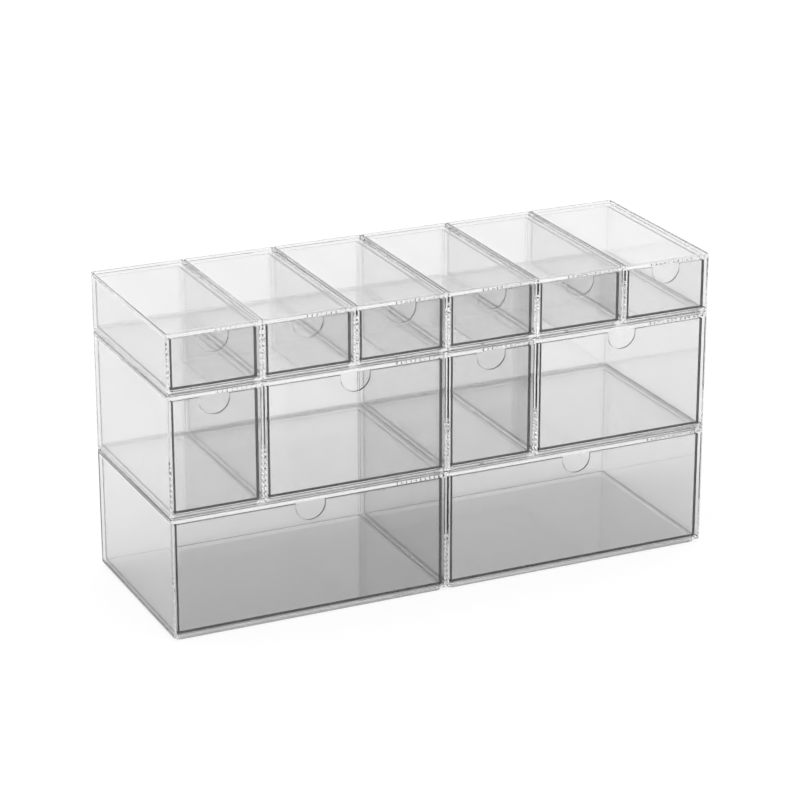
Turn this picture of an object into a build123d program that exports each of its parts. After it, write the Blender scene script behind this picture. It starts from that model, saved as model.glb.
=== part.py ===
"""Clear plastic drawer cabinet: twelve stacking cases in three tiers, each with its own sliding drawer.

Millimetres. +X runs to the right of someone facing the drawers, +Y to the back and +Z up.
The origin is at the bottom centre of the whole stack, on the surface that it stands on.
"""

import os

from build123d import *

# Overall sizes of the modules
UNIT_WIDTH = 82.0  # pitch of the narrowest module along a tier
CASE_DEPTH = 175.0  # front edge to back face of every case
LOW_BODY_HEIGHT = 51.0  # top tier, underside of the floor to the top of the lip
TALL_BODY_HEIGHT = 104.5  # middle and bottom tiers, measured the same way
NEIGHBOUR_GAP = 0.4  # air between two cases that stand side by side
STACK_GAP = 0.15  # air under a foot rim, where two moulded faces never quite meet
SINGLE_PITCH = UNIT_WIDTH  # the three module widths, each with its share of the gap
DOUBLE_PITCH = 2 * UNIT_WIDTH
TRIPLE_PITCH = 3 * UNIT_WIDTH

# Case: a sleeve that is open at the front
CASE_WALL = 2.2  # sides
CASE_BACK = 2.2
CASE_FLOOR = 2.5
CASE_TOP = 2.1
CASE_CORNER = 1.0  # bevel of the four upright edges
CASE_EDGE_BREAK = 0.5  # bevel of the underside edge and the front opening
BAY_CORNER = 0.8  # bevel along the inside of the sleeve
LIP_WIDTH = 2.2  # raised edge round the top, which keeps the next case in place
LIP_HEIGHT = 1.8
LIP_EDGE_BREAK = 0.4
FOOT_HEIGHT = 2.8  # rim under the floor, which stands inside the lip below
FOOT_WIDTH = 2.2
FOOT_CORNER = 5.0  # outer radius in plan
FOOT_CLEARANCE = 0.8  # foot rim to the lip that it stands inside

# Drawer: an open tray with a finger notch in its front
DRAWER_FRONT = 2.0
DRAWER_WALL = 2.0  # sides and back
DRAWER_FLOOR = 1.6
DRAWER_CORNER = 0.3  # bevel of the four upright edges
DRAWER_INNER_CORNER = 0.3  # bevel of the four upright edges of the hollow
DRAWER_FLOOR_BEVEL = 0.5  # inside, where the floor meets the walls
DRAWER_FOOT_BREAK = 0.4  # bevel of the underside edge
DRAWER_EDGE_BREAK = 0.4  # bevel of the rim and the notch
SIDE_CLEARANCE = 1.7  # drawer to each side of its case
TOP_CLEARANCE = 1.7  # drawer rim to the top of its case
BACK_CLEARANCE = 1.5  # drawer to the back of its case
SLIDE_GAP = 0.3  # drawer to the case floor that it slides on
FRONT_RECESS = 1.8  # drawer front behind the front edge of the case
NOTCH_RADIUS = 13.0
NOTCH_DEPTH = 16.0  # rim of the front to the bottom of the notch

OVERRUN = 5.0  # how far every cut runs past the material

# Tiers from the bottom up: name, height of the case bodies, and the modules from left to right
TIERS = (
    ("bottom", TALL_BODY_HEIGHT, (TRIPLE_PITCH, TRIPLE_PITCH)),
    ("middle", TALL_BODY_HEIGHT, (SINGLE_PITCH, DOUBLE_PITCH, SINGLE_PITCH, DOUBLE_PITCH)),
    ("top", LOW_BODY_HEIGHT, (SINGLE_PITCH,) * 6),
)


def front_plane(base, setback):
    """The upright plane that faces a user, setback behind the front edge of the case that stands on base."""
    return Plane(
        origin=(base.origin.X, setback - CASE_DEPTH / 2, base.origin.Z),
        x_dir=(1, 0, 0),
        z_dir=(0, -1, 0),
    )


def make_case(label, base, width, body_height):
    """A sleeve with an open front, a raised lip round its top and a foot rim under its floor."""
    foot_inset = LIP_WIDTH + FOOT_CLEARANCE
    foot_length, foot_breadth = width - 2 * foot_inset, CASE_DEPTH - 2 * foot_inset
    bay_floor = FOOT_HEIGHT + CASE_FLOOR
    bay_height = body_height - CASE_FLOOR - CASE_TOP - LIP_HEIGHT

    with BuildPart() as case:
        # Outer block, bevelled along its upright edges and round its underside
        with BuildSketch(base.offset(FOOT_HEIGHT)) as outline:
            Rectangle(width, CASE_DEPTH)
            chamfer(outline.vertices(), CASE_CORNER)
        extrude(amount=body_height)
        chamfer(case.faces().sort_by(Axis.Z)[0].edges(), CASE_EDGE_BREAK)

        # Shallow recess in the top, which leaves the lip standing
        with BuildSketch(base.offset(FOOT_HEIGHT + body_height - LIP_HEIGHT)):
            Rectangle(width - 2 * LIP_WIDTH, CASE_DEPTH - 2 * LIP_WIDTH)
        extrude(amount=LIP_HEIGHT, mode=Mode.SUBTRACT)
        chamfer(case.faces().sort_by(Axis.Z)[-1].edges(), LIP_EDGE_BREAK)

        # Bay for the drawer, from the open front to the back wall
        with BuildSketch(front_plane(base, 0)) as bay:
            with Locations((0, bay_floor + bay_height / 2)):
                Rectangle(width - 2 * CASE_WALL, bay_height)
            chamfer(bay.vertices(), BAY_CORNER)
        extrude(amount=CASE_BACK - CASE_DEPTH, mode=Mode.SUBTRACT)
        opening = case.faces().sort_by(Axis.Y)[0].inner_wires()
        chamfer(opening.edges(), CASE_EDGE_BREAK)

        # Foot rim, one closed loop under the floor
        with BuildSketch(base):
            RectangleRounded(foot_length, foot_breadth, FOOT_CORNER)
            RectangleRounded(
                foot_length - 2 * FOOT_WIDTH,
                foot_breadth - 2 * FOOT_WIDTH,
                FOOT_CORNER - FOOT_WIDTH,
                mode=Mode.SUBTRACT,
            )
        extrude(amount=FOOT_HEIGHT)

    case.part.label = label
    export_step(case.part, f"parts/{label}.step")


def make_drawer(label, base, case_width, body_height):
    """An open tray that slides in the bay of its case, with a round-bottomed finger notch in its front."""
    width = case_width - 2 * CASE_WALL - 2 * SIDE_CLEARANCE
    depth = CASE_DEPTH - CASE_BACK - BACK_CLEARANCE - FRONT_RECESS
    height = body_height - CASE_FLOOR - CASE_TOP - LIP_HEIGHT - SLIDE_GAP - TOP_CLEARANCE
    underside = FOOT_HEIGHT + CASE_FLOOR + SLIDE_GAP
    middle = FRONT_RECESS + (depth - CASE_DEPTH) / 2
    inside_depth = depth - DRAWER_FRONT - DRAWER_WALL
    inside_middle = middle + (DRAWER_FRONT - DRAWER_WALL) / 2
    rim = underside + height
    notch_reach = NOTCH_RADIUS + DRAWER_EDGE_BREAK

    with BuildPart() as drawer:
        # Outer block, bevelled along its upright edges and round its underside
        with BuildSketch(base.offset(underside)) as outline:
            with Locations((0, middle)):
                Rectangle(width, depth)
            chamfer(outline.vertices(), DRAWER_CORNER)
        extrude(amount=height)
        chamfer(drawer.faces().sort_by(Axis.Z)[0].edges(), DRAWER_FOOT_BREAK)

        # Hollow, with a small bevel where the floor meets the walls
        with BuildSketch(base.offset(underside + DRAWER_FLOOR)) as hollow:
            with Locations((0, inside_middle)):
                Rectangle(width - 2 * DRAWER_WALL, inside_depth)
            chamfer(hollow.vertices(), DRAWER_INNER_CORNER)
        extrude(amount=height, mode=Mode.SUBTRACT)
        inside_floor = drawer.faces().filter_by(Axis.Z).sort_by(Axis.Z)[1]
        chamfer(inside_floor.edges(), DRAWER_FLOOR_BEVEL)

        # Finger notch, straight at its sides and half round below
        with BuildSketch(front_plane(base, FRONT_RECESS - OVERRUN)):
            with Locations((0, rim - NOTCH_DEPTH + NOTCH_RADIUS)):
                Circle(NOTCH_RADIUS)
                Rectangle(2 * NOTCH_RADIUS, NOTCH_DEPTH, align=(Align.CENTER, Align.MIN))
        extrude(amount=-DRAWER_FRONT - 2 * OVERRUN, mode=Mode.SUBTRACT)

        # Bevels round the rim and along the notch on both faces of the front
        rim_edges = drawer.faces().sort_by(Axis.Z)[-1].edges()
        near_notch = drawer.edges().filter_by_position(
            Axis.X, base.origin.X - notch_reach, base.origin.X + notch_reach
        )
        notch_edges = near_notch.filter_by(Axis.X, reverse=True).filter_by(Axis.Y, reverse=True)
        chamfer(rim_edges + notch_edges, DRAWER_EDGE_BREAK)

    drawer.part.label = label
    export_step(drawer.part, f"parts/{label}.step")


def main():
    """Writes every case and drawer, tier by tier from the bottom up."""
    os.makedirs("parts", exist_ok=True)
    tier_floor = 0
    for tier, body_height, pitches in TIERS:
        left = -sum(pitches) / 2
        for number, pitch in enumerate(pitches, start=1):
            base = Plane(origin=(left + pitch / 2, 0, tier_floor))
            case_width = pitch - NEIGHBOUR_GAP
            make_case(f"{tier}_case_{number}", base, case_width, body_height)
            make_drawer(f"{tier}_drawer_{number}", base, case_width, body_height)
            left += pitch
        tier_floor += FOOT_HEIGHT + body_height - LIP_HEIGHT + STACK_GAP


main()
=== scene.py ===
"""Clear drawer cabinet: the finish of its cases and drawers, and the studio that shows it.

Metres, in the frame of the solids: +X to the right of someone facing the drawers, +Y to the back, +Z up.
"""

import math

import bmesh
import bpy
from bpy.props import FloatProperty, FloatVectorProperty, IntProperty, PointerProperty
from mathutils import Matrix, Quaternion, Vector


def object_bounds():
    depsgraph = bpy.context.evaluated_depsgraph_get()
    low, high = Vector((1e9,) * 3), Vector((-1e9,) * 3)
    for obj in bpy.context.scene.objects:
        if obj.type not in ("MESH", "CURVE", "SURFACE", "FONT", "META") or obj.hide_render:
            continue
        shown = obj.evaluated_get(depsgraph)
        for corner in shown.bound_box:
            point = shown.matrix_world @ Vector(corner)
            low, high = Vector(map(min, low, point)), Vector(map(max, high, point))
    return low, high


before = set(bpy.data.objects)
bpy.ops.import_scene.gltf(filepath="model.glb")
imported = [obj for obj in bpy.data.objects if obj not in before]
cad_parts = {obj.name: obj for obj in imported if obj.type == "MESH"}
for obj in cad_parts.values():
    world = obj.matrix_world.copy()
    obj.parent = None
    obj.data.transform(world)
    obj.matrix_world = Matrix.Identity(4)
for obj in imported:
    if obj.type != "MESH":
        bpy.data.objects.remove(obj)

bl_info = {
    "name": "Clear Drawer Cabinet",
    "version": (1, 0, 0),
    "blender": (4, 5, 0),
    "location": "View3D > Sidebar > Cabinet",
    "description": "Finishes a stack of clear plastic drawers and sets up the studio around it",
    "category": "Object",
}

CAD_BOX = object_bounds()
TIERS = ("bottom", "middle", "top")

BLACK = (0, 0, 0, 1)
WHITE = (1, 1, 1, 1)

# Patterns in the plastic, drawn by noise. Detail counts the finer layers that the noise has on top,
# and limits are the noise values where a mark begins and where it is full.
SLOW_RIPPLE_DETAIL = 1
FINE_RIPPLE_DETAIL = 0
FINE_RIPPLES = 5.3  # fine waves in the length of one slow wave
SCUFF_DETAIL = 2
SCUFF_LENGTH = 50  # length of a scuff for each unit of the spacing
SCUFF_LIMITS = (0.58, 0.72)
HAZE_DETAIL = 3
HAZE_GRAIN = 0.6  # strength of the finer noise in a patch
HAZE_LIMITS = (0.42, 0.78)

# Which way a face points, from the parts of its normal
FRONT_OR_BACK = 0.5  # above this in Y, it faces the front or the back
LEVEL = 0.9  # above this in Z, it faces up or down

# How bright the studio is at each height: sine of the angle above the horizon, and the grey there
STUDIO_GREYS = (
    (-1.0, 0.9), (0.0, 1.0), (0.2, 1.05), (0.3, 1.15), (0.38, 1.05),
    (0.45, 0.65), (0.72, 0.65), (0.84, 2.1), (1.0, 2.4),
)

FLOOR_SIDES = 96  # straight edges round the floor
CAMERA_SENSOR = 36  # millimetres
CAMERA_REACH = 50  # how far the camera sees


class PlasticSettings(bpy.types.PropertyGroup):
    """Finish of the clear moulded plastic."""

    case_tint: FloatVectorProperty(
        name="Case Tint", description="What one wall of a case lets through",
        subtype="COLOR", size=4, min=0, max=1, default=(0.923, 0.923, 0.923, 1),
    )
    drawer_tint: FloatVectorProperty(
        name="Drawer Tint", description="What one wall of a drawer lets through",
        subtype="COLOR", size=4, min=0, max=1, default=(0.967, 0.967, 0.967, 1),
    )
    case_density: FloatProperty(
        name="Case Density", description="How much light a case's wall takes along it, for each metre",
        min=0, default=0.45,
    )
    drawer_density: FloatProperty(
        name="Drawer Density", description="How much light a drawer's wall takes along it, for each metre",
        min=0, default=14,
    )
    # Painted shade: a dark colour mixed onto the foot rims of the middle and top cases, standing in for the
    # shade in the seam between tiers
    foot_painted_shade: FloatVectorProperty(
        name="Foot Painted Shade", description="What the foot rim of a case lets through, with the seam's shade on it",
        subtype="COLOR", size=4, min=0, max=1, default=(0.24, 0.24, 0.24, 1),
    )
    # Foot height and foot band bound the zone where the seam's shade is painted
    foot_height: FloatProperty(
        name="Foot Height", description="Height of the foot rim under a case, with the broken edge above it",
        unit="LENGTH", min=0, default=0.0034,
    )
    foot_band: FloatProperty(
        name="Foot Band", description="Width at each end of the stack where the foot rims show from the side",
        unit="LENGTH", min=0, default=0.0102,
    )
    bend: FloatProperty(
        name="Index of Refraction", description="How strongly the plastic bends light",
        min=1, max=2, default=1.57,
    )
    polish: FloatProperty(
        name="Polish Roughness", description="Roughness of a clean moulded face",
        min=0, max=1, default=0.004,
    )
    haze: FloatProperty(
        name="Handling Haze", description="Roughness that fingers and dust add in patches",
        min=0, max=1, default=0.014,
    )
    haze_size: FloatProperty(
        name="Haze Size", description="Width of the patches that handling leaves",
        unit="LENGTH", min=0.001, default=0.05,
    )
    case_scuff: FloatProperty(
        name="Case Scuffs", description="Roughness in the rubbed lines of a case",
        min=0, max=1, default=0.025,
    )
    drawer_scuff: FloatProperty(
        name="Drawer Scuffs", description="Roughness in the rubbed lines of a drawer",
        min=0, max=1, default=0.05,
    )
    scuff_spacing: FloatProperty(
        name="Scuff Spacing", description="Distance between the lines that sliding leaves",
        unit="LENGTH", min=0.0001, default=0.0016,
    )
    ripple_height: FloatProperty(
        name="Ripple Height", description="Height of the slow waves in a moulded face",
        unit="LENGTH", min=0, default=0.00002,
    )
    ripple_size: FloatProperty(
        name="Ripple Size", description="Length of the slow waves in a moulded face",
        unit="LENGTH", min=0.001, default=0.035,
    )
    fine_share: FloatProperty(
        name="Fine Ripples", description="Height of the finer waves, as a share of the slow ones",
        min=0, max=1, default=0.15,
    )


class StageSettings(bpy.types.PropertyGroup):
    """Floor, light and camera."""

    floor_radius: FloatProperty(
        name="Floor Radius", description="Half the width of the round floor",
        unit="LENGTH", min=0.5, default=6,
    )
    floor_colour: FloatVectorProperty(
        name="Floor Colour", description="Pale colour of the floor, which takes the shadow",
        subtype="COLOR", size=4, min=0, max=1, default=(0.6, 0.6, 0.6, 1),
    )
    floor_glow: FloatProperty(
        name="Floor Glow", description="Share of the white that the floor keeps in the shadow",
        min=0, max=1, default=0.39,
    )
    floor_through: FloatProperty(
        name="Floor Through Plastic", description="Share of the glow that mirrors and clear walls show",
        min=0, max=1, default=0.55,
    )
    floor_white: FloatProperty(
        name="Floor White", description="Share of plain white in the floor that the camera sees",
        min=0, max=1, default=0.75,
    )
    top_power: FloatProperty(
        name="Top Light", description="Power of the soft box overhead",
        unit="POWER", min=0, default=0.5,
    )
    top_place: FloatVectorProperty(
        name="Top Light Place", description="Where the soft box overhead hangs",
        subtype="TRANSLATION", unit="LENGTH", size=3, default=(0, 0.2, 2),
    )
    top_size: FloatVectorProperty(
        name="Top Light Size", description="Width and height of the soft box overhead",
        unit="LENGTH", size=2, min=0, default=(1.6, 1.2),
    )
    key_power: FloatProperty(
        name="Key Light", description="Power of the soft box at the front left",
        unit="POWER", min=0, default=4,
    )
    key_place: FloatVectorProperty(
        name="Key Light Place", description="Where the soft box at the front left stands",
        subtype="TRANSLATION", unit="LENGTH", size=3, default=(-1.5, -1.4, 1.7),
    )
    key_size: FloatVectorProperty(
        name="Key Light Size", description="Width and height of the soft box at the front left",
        unit="LENGTH", size=2, min=0, default=(0.8, 0.8),
    )
    camera_place: FloatVectorProperty(
        name="Camera Place", description="Where the camera stands",
        subtype="TRANSLATION", unit="LENGTH", size=3, default=(-1.00884, -2.17095, 1.03504),
    )
    camera_aim: FloatVectorProperty(
        name="Camera Aim", description="The point in the middle of the picture",
        subtype="TRANSLATION", unit="LENGTH", size=3, default=(0.01716, 0.04327, 0.12455),
    )
    camera_roll: FloatProperty(
        name="Camera Roll", description="Turn of the camera about its own line of sight",
        subtype="ANGLE", default=math.radians(-0.071),
    )
    camera_lens: FloatProperty(
        name="Camera Lens", description="Focal length, in millimetres",
        min=1, default=134.69,
    )
    light_paths: IntProperty(
        name="Light Paths", description="How many faces one line of sight may pass or bounce off",
        min=8, default=48,
    )


def link(tree, source, target):
    """Joins two sockets of one node tree."""
    tree.links.new(source, target)


def add_node(tree, kind, **inputs):
    """A node with plain values on the sockets named by inputs, where an underscore stands for a space."""
    node = tree.nodes.new(kind)
    for name, value in inputs.items():
        node.inputs[name.replace("_", " ")].default_value = value
    return node


def maths(tree, operation, first, second=0):
    """The result of a Math node whose two inputs are sockets or numbers."""
    node = tree.nodes.new("ShaderNodeMath")
    node.operation = operation
    for socket, value in zip(node.inputs, (first, second)):
        if isinstance(value, (int, float)):
            socket.default_value = value
        else:
            link(tree, value, socket)
    return node.outputs["Value"]


def remap(tree, value, low, high):
    """Stretches low to high over 0 to 1, clamped."""
    node = add_node(tree, "ShaderNodeMapRange", From_Min=low, From_Max=high)
    link(tree, value, node.inputs["Value"])
    return node.outputs["Result"]


def split(tree, vector):
    """The X, Y and Z of a vector."""
    node = tree.nodes.new("ShaderNodeSeparateXYZ")
    link(tree, vector, node.inputs["Vector"])
    return node.outputs


def facing(tree, axis):
    """How squarely a face points along an axis, either way, from 0 to 1."""
    normal = tree.nodes.new("ShaderNodeNewGeometry").outputs["Normal"]
    return maths(tree, "ABSOLUTE", split(tree, normal)[axis])


def colour_socket(sockets, name):
    """The colour socket of that name on a Mix node, which has one for each kind of value."""
    return next(socket for socket in sockets if socket.name == name and socket.type == "RGBA")


def mix_shaders(tree, share, first, second):
    """A shader that is first where the share is 0, and second where it is 1."""
    node = tree.nodes.new("ShaderNodeMixShader")
    factor, low, high = node.inputs
    link(tree, share, factor)
    link(tree, first.outputs[0], low)
    link(tree, second.outputs[0], high)
    return node


def new_group(name, inputs, outputs):
    """An empty shader node group with float inputs and outputs, and a vector input named Vector."""
    tree = bpy.data.node_groups.new(name, "ShaderNodeTree")
    tree.interface.new_socket("Vector", in_out="INPUT", socket_type="NodeSocketVector")
    for socket in inputs:
        tree.interface.new_socket(socket, in_out="INPUT", socket_type="NodeSocketFloat")
    for socket in outputs:
        tree.interface.new_socket(socket, in_out="OUTPUT", socket_type="NodeSocketFloat")
    return tree, tree.nodes.new("NodeGroupInput").outputs, tree.nodes.new("NodeGroupOutput").inputs


def ripple_group():
    """Slow waves of a moulded face, with finer ones on them, as a height."""
    tree, given, result = new_group("moulded_ripple", ["Size", "Fine Share"], ["Height"])
    slow_scale = maths(tree, "DIVIDE", 1, given["Size"])
    slow = add_node(tree, "ShaderNodeTexNoise", Detail=SLOW_RIPPLE_DETAIL)
    link(tree, given["Vector"], slow.inputs["Vector"])
    link(tree, slow_scale, slow.inputs["Scale"])
    fine = add_node(tree, "ShaderNodeTexNoise", Detail=FINE_RIPPLE_DETAIL)
    link(tree, given["Vector"], fine.inputs["Vector"])
    link(tree, maths(tree, "MULTIPLY", slow_scale, FINE_RIPPLES), fine.inputs["Scale"])
    ripples = maths(tree, "MULTIPLY", fine.outputs["Fac"], given["Fine Share"])
    link(tree, maths(tree, "ADD", slow.outputs["Fac"], ripples), result["Height"])
    return tree


def scuff_group():
    """Thin lines along the way a drawer slides, on every face that lies along that way."""
    tree, given, result = new_group("slide_scuffs", ["Spacing"], ["Mask"])
    place = split(tree, given["Vector"])
    squeezed = tree.nodes.new("ShaderNodeCombineXYZ")
    for axis, length in (("X", 1), ("Y", SCUFF_LENGTH), ("Z", 1)):
        scaled = maths(tree, "MULTIPLY", place[axis], 1 / length)
        link(tree, maths(tree, "DIVIDE", scaled, given["Spacing"]), squeezed.inputs[axis])
    lines = add_node(tree, "ShaderNodeTexNoise", Scale=1, Detail=SCUFF_DETAIL)
    link(tree, squeezed.outputs["Vector"], lines.inputs["Vector"])
    along = maths(tree, "LESS_THAN", facing(tree, "Y"), FRONT_OR_BACK)
    worn = remap(tree, lines.outputs["Fac"], *SCUFF_LIMITS)
    link(tree, maths(tree, "MULTIPLY", worn, along), result["Mask"])
    return tree


def haze_group():
    """Soft uneven patches that handling leaves."""
    tree, given, result = new_group("handling_haze", ["Size"], ["Mask"])
    patches = add_node(tree, "ShaderNodeTexNoise", Detail=HAZE_DETAIL, Roughness=HAZE_GRAIN)
    link(tree, given["Vector"], patches.inputs["Vector"])
    link(tree, maths(tree, "DIVIDE", 1, given["Size"]), patches.inputs["Scale"])
    link(tree, remap(tree, patches.outputs["Fac"], *HAZE_LIMITS), result["Mask"])
    return tree


def painted_foot_shade_group():
    """Mask of the painted seam shade: 1 on foot rims at a level, where they face front or back or lie further
    out in X than the reach.
    """
    tree, given, result = new_group("foot_rim_painted_shade", ["Level", "Height", "Reach"], ["Mask"])
    place = split(tree, given["Vector"])
    rise = maths(tree, "SUBTRACT", place["Z"], given["Level"])
    low = maths(tree, "LESS_THAN", rise, given["Height"])
    upright = maths(tree, "LESS_THAN", facing(tree, "Z"), LEVEL)
    front = maths(tree, "GREATER_THAN", facing(tree, "Y"), FRONT_OR_BACK)
    outer = maths(tree, "GREATER_THAN", maths(tree, "ABSOLUTE", place["X"]), given["Reach"])
    open_to_view = maths(tree, "MULTIPLY", upright, maths(tree, "MAXIMUM", front, outer))
    link(tree, maths(tree, "MULTIPLY", low, open_to_view), result["Mask"])
    return tree


def shared_group(name, make):
    """The node group of that name, made the first time that it is asked for."""
    return bpy.data.node_groups.get(name) or make()


def place_group(tree, name, make, vector, **values):
    """The outputs of a shared group in a material, with the material's own values on its inputs."""
    node = tree.nodes.new("ShaderNodeGroup")
    node.node_tree = shared_group(name, make)
    link(tree, vector, node.inputs["Vector"])
    for socket, value in values.items():
        node.inputs[socket.replace("_", " ")].default_value = value
    return node.outputs


def clear_plastic(name, settings, tint, density, scuff):
    """Polished clear plastic with moulding ripples, slide scuffs and handling haze."""
    material = bpy.data.materials.new(name)
    material.use_nodes = True
    tree = material.node_tree
    surface = tree.nodes["Principled BSDF"]
    surface.inputs["Base Color"].default_value = tint
    surface.inputs["IOR"].default_value = settings.bend
    surface.inputs["Transmission Weight"].default_value = 1
    depth = add_node(tree, "ShaderNodeVolumeAbsorption", Color=BLACK, Density=density)
    link(tree, depth.outputs["Volume"], tree.nodes["Material Output"].inputs["Volume"])

    place = tree.nodes.new("ShaderNodeTexCoord").outputs["Object"]
    scuffs = place_group(tree, "slide_scuffs", scuff_group, place, Spacing=settings.scuff_spacing)
    patches = place_group(tree, "handling_haze", haze_group, place, Size=settings.haze_size)
    rubbed = maths(tree, "MULTIPLY", scuffs["Mask"], scuff)
    hazy = maths(tree, "MULTIPLY", patches["Mask"], settings.haze)
    worn = maths(tree, "ADD", rubbed, hazy)
    link(tree, maths(tree, "ADD", worn, settings.polish), surface.inputs["Roughness"])

    ripples = place_group(
        tree, "moulded_ripple", ripple_group, place,
        Size=settings.ripple_size, Fine_Share=settings.fine_share,
    )
    bump = add_node(tree, "ShaderNodeBump", Strength=1, Distance=settings.ripple_height)
    link(tree, ripples["Height"], bump.inputs["Height"])
    link(tree, bump.outputs["Normal"], surface.inputs["Normal"])
    return material


def paint_foot_shade(material, settings, tint, level):
    """Paints the seam's shade into the base colour of the foot rims of the cases that stand at that level,
    where the seam is open to view.
    """
    tree = material.node_tree
    place = tree.nodes.new("ShaderNodeTexCoord").outputs["Object"]
    reach = CAD_BOX[1].x - settings.foot_band
    foot = place_group(
        tree, "foot_rim_painted_shade", painted_foot_shade_group, place, Level=level, Height=settings.foot_height, Reach=reach
    )
    # Painted seam shade: the foot rims take the foot shade colour in place of the case tint
    mixed = tree.nodes.new("ShaderNodeMix")
    mixed.data_type = "RGBA"
    link(tree, foot["Mask"], mixed.inputs["Factor"])
    colour_socket(mixed.inputs, "A").default_value = tint
    colour_socket(mixed.inputs, "B").default_value = settings.foot_painted_shade
    shaded = colour_socket(mixed.outputs, "Result")
    link(tree, shaded, tree.nodes["Principled BSDF"].inputs["Base Color"])


def tier_nodes(tier, kind):
    """The cases or the drawers of one tier."""
    nodes = [node for name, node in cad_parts.items() if name.startswith(f"{tier}_{kind}_")]
    if not nodes:
        raise RuntimeError(f"the {tier} tier has no {kind}")
    return nodes


def dress(nodes, material):
    """Gives the nodes that material."""
    for node in nodes:
        for slot in node.material_slots:
            slot.material = material


class CABINET_OT_dress_cases(bpy.types.Operator):
    """Finishes the sleeves that hold the drawers"""

    bl_idname = "cabinet.dress_cases"
    bl_label = "Dress Cases"

    def execute(self, context):
        settings = context.scene.cabinet_plastic
        tint = settings.case_tint
        for tier in TIERS:
            cases = tier_nodes(tier, "case")
            # One material for each tier, so that the middle and top cases can carry the painted seam shade
            plastic = clear_plastic(
                f"{tier}_case_plastic", settings, tint, settings.case_density, settings.case_scuff
            )
            # The bottom tier stands on the floor, so it has no seam under it and no painted seam shade
            if tier != TIERS[0]:
                level = min(corner[2] for corner in cases[0].bound_box)
                paint_foot_shade(plastic, settings, tint, level)
            dress(cases, plastic)
        return {"FINISHED"}


class CABINET_OT_dress_drawers(bpy.types.Operator):
    """Finishes the trays that slide in the cases"""

    bl_idname = "cabinet.dress_drawers"
    bl_label = "Dress Drawers"

    def execute(self, context):
        settings = context.scene.cabinet_plastic
        plastic = clear_plastic(
            "drawer_plastic", settings, settings.drawer_tint, settings.drawer_density, settings.drawer_scuff
        )
        for tier in TIERS:
            dress(tier_nodes(tier, "drawer"), plastic)
        return {"FINISHED"}


def sight_rays(tree, through):
    """1 for the rays that show the floor straight, and through for those by way of a mirror or clear wall."""
    path = tree.nodes.new("ShaderNodeLightPath").outputs
    turned = maths(tree, "MAXIMUM", path["Is Glossy Ray"], path["Is Transmission Ray"])
    return maths(tree, "MAXIMUM", path["Is Camera Ray"], maths(tree, "MULTIPLY", turned, through))


def floor_material(settings):
    """Pale floor that is white to the eye, keeps the shadow, and can be seen through from below."""
    material = bpy.data.materials.new("studio_floor")
    material.use_nodes = True
    tree = material.node_tree
    tree.nodes.remove(tree.nodes["Principled BSDF"])
    pale = add_node(tree, "ShaderNodeBsdfDiffuse", Color=settings.floor_colour)
    glow = add_node(tree, "ShaderNodeEmission", Color=WHITE)
    seen = sight_rays(tree, settings.floor_through)
    link(tree, maths(tree, "MULTIPLY", seen, settings.floor_glow), glow.inputs["Strength"])
    lit = tree.nodes.new("ShaderNodeAddShader")
    for shader, socket in zip((pale, glow), lit.inputs):
        link(tree, shader.outputs[0], socket)

    white = add_node(tree, "ShaderNodeEmission", Color=WHITE, Strength=1)
    straight = tree.nodes.new("ShaderNodeLightPath").outputs["Is Camera Ray"]
    whitened = maths(tree, "MULTIPLY", straight, settings.floor_white)
    shown = mix_shaders(tree, whitened, lit, white)
    below = tree.nodes.new("ShaderNodeNewGeometry").outputs["Backfacing"]
    one_way = mix_shaders(tree, below, shown, tree.nodes.new("ShaderNodeBsdfTransparent"))
    link(tree, one_way.outputs["Shader"], tree.nodes["Material Output"].inputs["Surface"])
    return material


def make_floor(settings):
    """A round floor under the cabinet."""
    mesh = bpy.data.meshes.new("floor")
    shape = bmesh.new()
    bmesh.ops.create_circle(shape, cap_ends=True, radius=settings.floor_radius, segments=FLOOR_SIDES)
    shape.to_mesh(mesh)
    shape.free()
    mesh.materials.append(floor_material(settings))
    floor = bpy.data.objects.new("floor", mesh)
    bpy.context.collection.objects.link(floor)


def make_world():
    """White to the eye, and to the plastic a pale studio, greyer halfway up and brightest overhead."""
    world = bpy.data.worlds.new("studio")
    world.use_nodes = True
    bpy.context.scene.world = world
    tree = world.node_tree
    height = split(tree, tree.nodes.new("ShaderNodeTexCoord").outputs["Generated"])["Z"]
    ramp = tree.nodes.new("ShaderNodeValToRGB")
    stops = ramp.color_ramp.elements
    for index, (sine, grey) in enumerate(STUDIO_GREYS):
        position = (sine + 1) / 2
        # A new ramp already has its first stops
        stop = stops[index] if index < len(stops) else stops.new(position)
        stop.position = position
        stop.color = (grey, grey, grey, 1)
    link(tree, remap(tree, height, -1, 1), ramp.inputs["Fac"])
    studio = tree.nodes["Background"]
    link(tree, ramp.outputs["Color"], studio.inputs["Color"])
    white = add_node(tree, "ShaderNodeBackground", Color=WHITE, Strength=1)
    straight = tree.nodes.new("ShaderNodeLightPath").outputs["Is Camera Ray"]
    shown = mix_shaders(tree, straight, studio, white)
    link(tree, shown.outputs["Shader"], tree.nodes["World Output"].inputs["Surface"])


def make_soft_box(name, place, size, power):
    """An area lamp that is turned to the middle of the cabinet and that the camera doesn't see."""
    lamp = bpy.data.lights.new(name, "AREA")
    lamp.shape = "RECTANGLE"
    lamp.size, lamp.size_y = size
    lamp.energy = power
    box = bpy.data.objects.new(name, lamp)
    middle = Vector((0, 0, CAD_BOX[1].z / 2))
    box.location = place
    box.rotation_euler = (middle - Vector(place)).to_track_quat("-Z", "Y").to_euler()
    box.visible_camera = False
    bpy.context.collection.objects.link(box)


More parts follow.
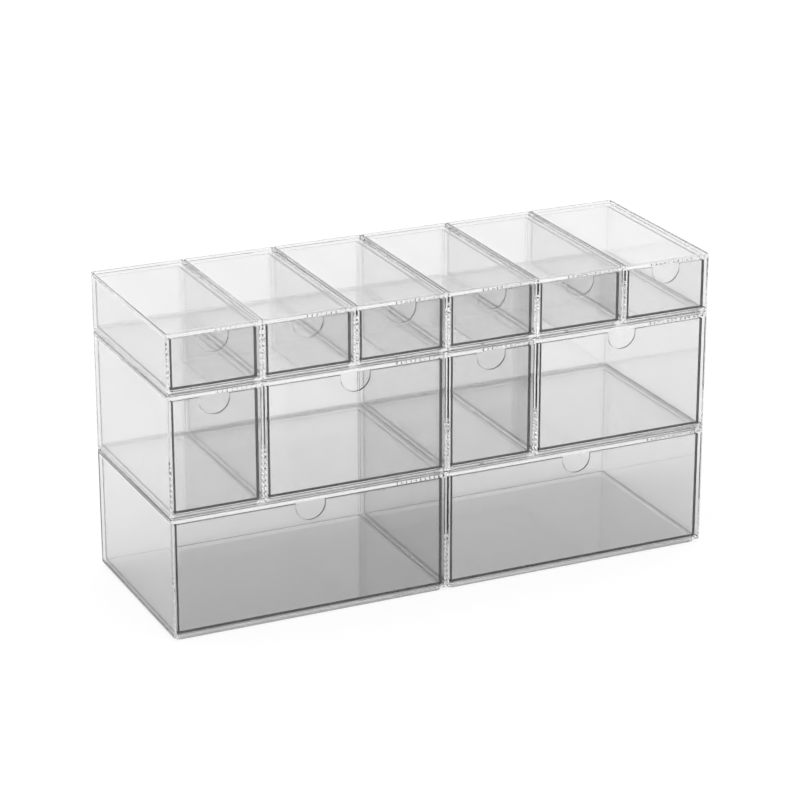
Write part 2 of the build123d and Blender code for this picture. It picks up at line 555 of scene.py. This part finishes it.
def make_camera(settings):
    """The camera at the photograph's angle."""
    lens = bpy.data.cameras.new("camera")
    lens.lens = settings.camera_lens
    lens.sensor_width = CAMERA_SENSOR
    lens.clip_end = CAMERA_REACH
    camera = bpy.data.objects.new("camera", lens)
    place, aim = Vector(settings.camera_place), Vector(settings.camera_aim)
    level = (aim - place).to_track_quat("-Z", "Y")
    camera.location = place
    camera.rotation_euler = (level @ Quaternion((0, 0, 1), settings.camera_roll)).to_euler()
    bpy.context.collection.objects.link(camera)
    bpy.context.scene.camera = camera


class CABINET_OT_set_stage(bpy.types.Operator):
    """Sets up the floor, the light and the camera"""

    bl_idname = "cabinet.set_stage"
    bl_label = "Set Stage"

    def execute(self, context):
        scene = context.scene
        settings = scene.cabinet_stage
        make_floor(settings)
        make_world()
        make_soft_box("top_light", settings.top_place, settings.top_size, settings.top_power)
        make_soft_box("key_light", settings.key_place, settings.key_size, settings.key_power)
        make_camera(settings)
        scene.view_settings.view_transform = "Standard"
        scene.cycles.max_bounces = settings.light_paths
        scene.cycles.transmission_bounces = settings.light_paths
        scene.cycles.glossy_bounces = settings.light_paths
        return {"FINISHED"}


STEPS = (CABINET_OT_dress_cases, CABINET_OT_dress_drawers, CABINET_OT_set_stage)


class CABINET_PT_panel(bpy.types.Panel):
    """Lists the steps and their settings"""

    bl_idname = "CABINET_PT_panel"
    bl_label = "Clear Drawer Cabinet"
    bl_space_type = "VIEW_3D"
    bl_region_type = "UI"
    bl_category = "Cabinet"

    def draw(self, context):
        for step in STEPS:
            self.layout.operator(step.bl_idname)
        for group in (context.scene.cabinet_plastic, context.scene.cabinet_stage):
            box = self.layout.box()
            for name in group.bl_rna.properties.keys():
                if name not in {"rna_type", "name"}:
                    box.prop(group, name)


CLASSES = (PlasticSettings, StageSettings, *STEPS, CABINET_PT_panel)


def register():
    """Adds the classes and the settings to Blender."""
    for cls in CLASSES:
        bpy.utils.register_class(cls)
    bpy.types.Scene.cabinet_plastic = PointerProperty(type=PlasticSettings)
    bpy.types.Scene.cabinet_stage = PointerProperty(type=StageSettings)


def unregister():
    """Takes them out again."""
    del bpy.types.Scene.cabinet_stage
    del bpy.types.Scene.cabinet_plastic
    for cls in reversed(CLASSES):
        bpy.utils.unregister_class(cls)


def main():
    """Runs every step in order."""
    register()
    bpy.ops.cabinet.dress_cases()
    bpy.ops.cabinet.dress_drawers()
    bpy.ops.cabinet.set_stage()


if __name__ == "__main__":
    main()
